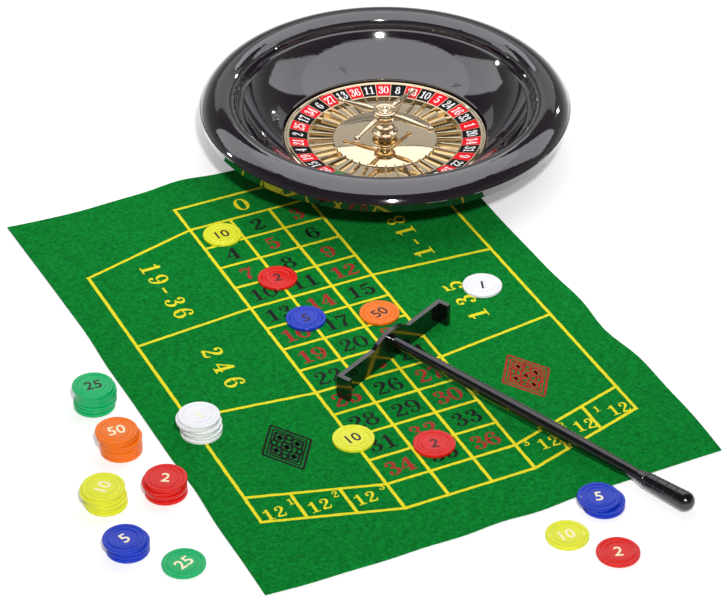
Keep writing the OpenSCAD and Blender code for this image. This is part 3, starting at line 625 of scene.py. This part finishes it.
wheel = {"places": 37, "farPlace": 15, "farAngle": 65.0, "ringThick": 1.2, "inkDepth": 0.03,
         "figure": 7.4, "pitch": 3.7, "narrow": 0.76, "outward": 0.3,
         "divider": 0.3, "dividerTop": 0.05, "dividerInset": 0.1,
         "order": [0, 32, 15, 19, 4, 21, 2, 25, 17, 34, 6, 27, 13, 36, 11, 30, 8, 23, 10,
                   5, 24, 16, 33, 1, 20, 14, 31, 9, 22, 18, 29, 7, 28, 12, 35, 3, 26]}
ringLow, ringHigh = boxMm("number_ring")
axis = Vector(((ringLow[0] + ringHigh[0]) / 2, (ringLow[1] + ringHigh[1]) / 2))
pocketLow, pocketHigh = boxMm("pocket_ring")
ringInner = (pocketHigh[0] - pocketLow[0]) / 2
ringOuter = (ringHigh[0] - ringLow[0]) / 2
ringSlope = (ringHigh[2] - ringLow[2] - wheel["ringThick"]) / (ringOuter - ringInner)


def ringHeight(radius):
    return ringLow[2] + wheel["ringThick"] + (radius - ringInner) * ringSlope


def placeAngle(place):
    return math.radians(wheel["farAngle"] - (place - wheel["farPlace"]) * 360 / wheel["places"])


def lacqueredFields():
    # Printed paper-thin fields under clear lacquer: red and black in turn, one green
    look = {"black": "#050405", "red": "#e01020", "green": "#0a7a35", "speck": 1.5, "depth": 0.05}
    material, tree, shader = startMaterial("lacqueredFields")
    place = addNode(tree, "ShaderNodeTexCoord").outputs["Object"]
    centred = addNode(tree, "ShaderNodeVectorMath", {1: (axis.x * mm, axis.y * mm, 0)}, {0: place},
                      operation="SUBTRACT")
    parts = addNode(tree, "ShaderNodeSeparateXYZ", links={0: centred.outputs[0]})
    angle = addNode(tree, "ShaderNodeMath", links={0: parts.outputs["Y"], 1: parts.outputs["X"]},
                    operation="ARCTAN2")
    step = 2 * math.pi / wheel["places"]
    first = placeAngle(0) + step / 2  # the green field starts here and the fields follow clockwise
    turn = addNode(tree, "ShaderNodeMath", {1: -1 / step, 2: first / step}, {0: angle.outputs[0]},
                   operation="MULTIPLY_ADD")
    wrapped = addNode(tree, "ShaderNodeMath", {1: wheel["places"], 2: 0}, {0: turn.outputs[0]},
                      operation="WRAP")
    index = addNode(tree, "ShaderNodeMath", links={0: wrapped.outputs[0]}, operation="FLOOR")
    odd = addNode(tree, "ShaderNodeMath", {1: 2.0}, {0: index.outputs[0]}, operation="FLOORED_MODULO")
    green = addNode(tree, "ShaderNodeMath", {1: 0.5}, {0: index.outputs[0]}, operation="LESS_THAN")
    redBlack = addNode(tree, "ShaderNodeMix",
                       {"A": hexToLinear(look["black"]), "B": hexToLinear(look["red"])},
                       {"Factor": odd.outputs[0]}, data_type="RGBA")
    fields = addNode(tree, "ShaderNodeMix", {"B": hexToLinear(look["green"])},
                     {"Factor": green.outputs[0], "A": redBlack.outputs["Result"]}, data_type="RGBA")
    speck = addNode(tree, "ShaderNodeTexNoise", {"Scale": perMm(look["speck"]), "Detail": 2},
                    {"Vector": place})
    bump = addNode(tree, "ShaderNodeBump", {"Strength": 0.05, "Distance": look["depth"] * mm},
                   {"Height": speck.outputs["Fac"]})
    tree.links.new(fields.outputs["Result"], shader.inputs["Base Color"])
    tree.links.new(bump.outputs["Normal"], shader.inputs["Normal"])
    shader.inputs["Roughness"].default_value = 0.5
    shader.inputs["Specular IOR Level"].default_value = 0.15
    return material


whiteInk = plainStuff("whiteFigureInk", "#f4f4f2", 0.4)


def makeWheelFigures():
    bm = bmesh.new()
    middle = (ringInner + ringOuter) / 2 + wheel["outward"]
    for place, number in enumerate(wheel["order"]):
        angle = placeAngle(place)
        outward = Vector((math.cos(angle), math.sin(angle)))
        along = Vector((outward.y, -outward.x))
        text = str(number)
        for k, character in enumerate(text):
            shift = (k - (len(text) - 1) / 2) * wheel["pitch"]

            def onRing(x, y, h, shift=shift):
                radial = middle + (y - 0.5) * wheel["figure"]
                side = shift + (x - numeralWidth / 2) * wheel["figure"] * wheel["narrow"]
                flat = axis + outward * radial + along * side
                return Vector((flat.x, flat.y, ringHeight((flat - axis).length) + h)) * mm

            addNumeral(bm, character, onRing, -wheel["inkDepth"], wheel["inkDepth"])
    return addPiece("wheelFigures", finishMesh(bm, "wheelFigures"), "rotor", [whiteInk])


def makeFieldDividers():
    bm = bmesh.new()
    reach = (ringInner + wheel["dividerInset"], ringOuter - wheel["dividerInset"])

    def onRing(x, y, h):
        return Vector((axis.x + x, axis.y + y, ringHeight(math.hypot(x, y)) + h)) * mm

    for place in range(wheel["places"]):
        angle = placeAngle(place + 0.5)
        ends = [(r * math.cos(angle), r * math.sin(angle), wheel["divider"]) for r in reach]
        addRibbon(bm, ends, onRing, -wheel["inkDepth"], wheel["dividerTop"])
    return addPiece("fieldDividers", finishMesh(bm, "fieldDividers"), "rotor", [gold])


dress("number_ring", lacqueredFields())
makeWheelFigures()
makeFieldDividers()
wheelFinishes = [
    (bowlBlack, ["bowl", "deflectors"]), (coverBlack, ["rotor_pan", "base_cover"]),
    (gold, ["pocket_ring", "number_trim", "rotor_cone",
            "turret_column", "turret_hub", "turret_arms", "turret_cap"]),
    (rubber, ["rubber_feet"]), (steel, ["base_screws", "spindle"]), (brass, ["rotor_bush"]),
    (nylon, ["thrust_washer"]),
]
for material, nodes in wheelFinishes:
    for node in nodes:
        dress(node, material)
print("wheel made")


# Rake

for node in ("rake_blade", "rake_rod", "rake_grip"):
    dress(node, rakeBlack)
print("rake made")


# Chips: each node's top chip carries its value, turned as it lies

chipFaces = {  # body, value, turn in degrees and ink
    "stack_white": ("white_stack", "1", 20, creamFoil),
    "stack_green": ("green_stack", "25", -5, darkStamp),
    "stack_orange": ("orange_stack", "50", -3, creamFoil),
    "stack_yellow": ("yellow_stack", "10", 43, creamFoil),
    "stack_red": ("red_stack", "2", -31, creamFoil),
    "stack_blue": ("blue_stack", "5", 15, creamFoil),
    "pile_blue": ("blue_pile", "5", -15, creamFoil),
    "chip_yellow_top": ("top_yellow_chip", "10", 2, darkStamp),
    "chip_yellow_low": ("low_yellow_chip", "10", 6, darkStamp),
    "chip_yellow_table": ("table_yellow_chip", "10", 0, creamFoil),
    "chip_red_top": ("top_red_chip", "2", -12, darkStamp),
    "chip_red_low": ("low_red_chip", "2", -15, darkStamp),
    "chip_red_table": ("table_red_chip", "2", -20, creamFoil),
    "chip_blue": ("blue_chip", "5", -8, darkStamp),
    "chip_orange": ("orange_chip", "50", 15, darkStamp),
    "chip_white": ("white_chip", "1", -20, darkStamp),
    "chip_green_table": ("table_green_chip", "25", 21, creamFoil),
}
chipFigure = {"height": 8.0, "fontSize": 1.38, "bold": 0.14, "raise": 0.05, "recess": 0.3, "level": 0.05}


def chipColour(node):
    return next(colour for colour in chipColours if colour in node)


def topOfChip(node):
    # The middle of the sunk face, inside the chip's raised edge
    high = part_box(node)[1][2]
    top = [v.co for v in cad[node].data.vertices if v.co.z > high - chipFigure["level"] * mm]
    middle = [(min(c[k] for c in top) + max(c[k] for c in top)) / 2 for k in (0, 1)]
    return Vector((*middle, high - chipFigure["recess"] * mm))


def makeChipFigure(node, body, text, angle, ink):
    curve = bpy.data.curves.new(node + "Figure", "FONT")
    curve.body = text
    curve.size = chipFigure["height"] * mm * chipFigure["fontSize"]
    curve.align_x = "CENTER"
    curve.align_y = "CENTER"
    curve.extrude = chipFigure["raise"] * mm / 2
    curve.resolution_u = 4
    curve.offset = chipFigure["bold"] * mm
    writing = bpy.data.objects.new(node + "Writing", curve)
    bpy.context.scene.collection.objects.link(writing)
    bpy.context.view_layer.update()
    mesh = bpy.data.meshes.new_from_object(writing.evaluated_get(bpy.context.evaluated_depsgraph_get()))
    bpy.data.objects.remove(writing)
    mesh.name = node + "Figure"
    xs = [v.co.x for v in mesh.vertices]
    ys = [v.co.y for v in mesh.vertices]
    middle = Vector(((min(xs) + max(xs)) / 2, (min(ys) + max(ys)) / 2, 0))
    turn = math.radians(angle)
    top = topOfChip(node)
    for v in mesh.vertices:
        flat = v.co - middle
        v.co = top + Vector((flat.x * math.cos(turn) - flat.y * math.sin(turn),
                             flat.x * math.sin(turn) + flat.y * math.cos(turn), flat.z))
    return addPiece(node + "_figure", mesh, body, [ink])


for node, (body, text, angle, ink) in chipFaces.items():
    dress(node, chipPlastic[chipColour(node)])
    makeChipFigure(node, body, text, angle, ink)
print("chips made")


# Studio: a pale floor, a room that is dim higher up, and lit cloths held low and level over the wheel, which
# its gloss mirrors. A studio place is back, across and up from the middle of the set, as the camera looks

view = {"target": (25.4, 27.0, 0.0), "distance": 1915.8, "azimuth": -25.7, "elevation": 35.47,
        "lens": 149.39, "sensor": 36, "farthest": 50000}
floorLook = {"reach": 8000, "below": 0.3, "grey": 0.86, "glow": 0.25}
room = {"low": 0.6, "high": 0.06, "highFrom": 0.64, "between": ((0.14, 0.3), (0.28, 0.16), (0.45, 0.12))}
clothHeight = 360  # low enough for the cloths to end within the rim's reflection
clothColour = (0.97, 0.955, 1.0)
cloths = {  # back, across, size, radiance, shape and turn
    "mainCloth": (186, 14.6, (600, 540), 1.35, "ELLIPSE", 0),
    "backCloth": (530, 14.6, (270, 180), 1.35, "RECTANGLE", 0),
    "dimCloth": (800, 14.6, (760, 340), 0.38, "RECTANGLE", 0),
    "leftWing": (362, -495, (580, 320), 1.1, "RECTANGLE", -22),
    "rightWing": (362, 525, (580, 320), 1.1, "RECTANGLE", 22),
}
softboxes = {  # place, width and radiance: one lamp near the camera, and two that only spark in the gloss
    "frontLamp": ((-1560, 150, 1528), 130, 700),
    "sparkLampLeft": ((553, -1698, 586), 80, 70),
    "sparkLampRight": ((1900, 1330, 940), 90, 60),
}


def makeFloor():
    size = floorLook["reach"] * mm
    grey = floorLook["grey"]
    bm = bmesh.new()
    corners = [(-size, -size), (size, -size), (size, size), (-size, size)]
    bm.faces.new([bm.verts.new((x, y, -floorLook["below"] * mm)) for x, y in corners])
    floor = bpy.data.objects.new("floor", finishMesh(bm, "floor"))
    bpy.context.scene.collection.objects.link(floor)
    material, tree, shader = startMaterial("paleFloor")
    shader.inputs["Base Color"].default_value = (grey, grey, grey, 1)
    shader.inputs["Roughness"].default_value = 0.9
    shader.inputs["Specular IOR Level"].default_value = 0.0
    rays = addNode(tree, "ShaderNodeLightPath").outputs
    seen = addNode(tree, "ShaderNodeMath", links={0: rays["Is Camera Ray"], 1: rays["Is Glossy Ray"]},
                   operation="MAXIMUM")
    seen = addNode(tree, "ShaderNodeMath", links={0: seen.outputs[0], 1: rays["Is Transmission Ray"]},
                   operation="MAXIMUM")
    glow = addNode(tree, "ShaderNodeMath", {1: floorLook["glow"]}, {0: seen.outputs[0]},
                   operation="MULTIPLY")
    shader.inputs["Emission Color"].default_value = (1, 1, 1, 1)
    tree.links.new(glow.outputs[0], shader.inputs["Emission Strength"])
    floor.data.materials.append(material)


def makeWorld():
    world = bpy.data.worlds.new("studio")
    bpy.context.scene.world = world
    world.use_nodes = True
    tree = world.node_tree
    direction = addNode(tree, "ShaderNodeTexCoord").outputs["Generated"]
    parts = addNode(tree, "ShaderNodeSeparateXYZ", links={0: direction})
    ramp = addNode(tree, "ShaderNodeValToRGB", links={"Fac": parts.outputs["Z"]})
    stops = ramp.color_ramp.elements
    stops[1].position = room["highFrom"]
    greys = [(stops[0], room["low"]), (stops[1], room["high"])]
    for stop, grey in greys:
        stop.color = (grey, grey, grey, 1)
    for position, grey in room["between"]:
        stops.new(position).color = (grey, grey, grey, 1)
    tree.links.new(ramp.outputs["Color"], tree.nodes["Background"].inputs["Color"])


def fromView(back, across, height):
    turn = math.radians(view["azimuth"])
    return Vector((view["target"][0] + across * math.cos(turn) - back * math.sin(turn),
                   view["target"][1] + across * math.sin(turn) + back * math.cos(turn), height))


def makeCamera():
    camera = bpy.data.objects.new("camera", bpy.data.cameras.new("camera"))
    camera.data.lens = view["lens"]
    camera.data.sensor_width = view["sensor"]
    camera.data.clip_end = view["farthest"] * mm
    turn, rise = math.radians(view["azimuth"]), math.radians(view["elevation"])
    back = Vector((math.sin(turn) * math.cos(rise), -math.cos(turn) * math.cos(rise), math.sin(rise)))
    camera.location = (Vector(view["target"]) + back * view["distance"]) * mm
    camera.rotation_euler = (-back).to_track_quat("-Z", "Y").to_euler()
    bpy.context.scene.collection.objects.link(camera)
    bpy.context.scene.camera = camera


def addLamp(name, place, size, radiance, shape):
    lamp = bpy.data.lights.new(name, "AREA")
    lamp.shape = shape
    lamp.size, lamp.size_y = size[0] * mm, size[1] * mm
    area = lamp.size * lamp.size_y * (math.pi / 4 if shape == "ELLIPSE" else 1)
    lamp.energy = radiance * math.pi * area
    obj = bpy.data.objects.new(name, lamp)
    obj.location = fromView(*place) * mm
    bpy.context.scene.collection.objects.link(obj)
    return obj


def makeLamps():
    for name, (back, across, size, radiance, shape, turn) in cloths.items():
        cloth = addLamp(name, (back, across, clothHeight), size, radiance, shape)
        cloth.data.color = clothColour
        cloth.rotation_euler = (0, 0, math.radians(view["azimuth"] + turn))
    for name, (place, width, radiance) in softboxes.items():
        softbox = addLamp(name, place, (width, width), radiance, "RECTANGLE")
        aim = fromView(0, 0, 0) - fromView(*place)
        softbox.rotation_euler = aim.to_track_quat("-Z", "Y").to_euler()


makeFloor()
makeWorld()
makeCamera()
makeLamps()
bpy.context.scene.view_settings.view_transform = "Standard"
print("studio made")
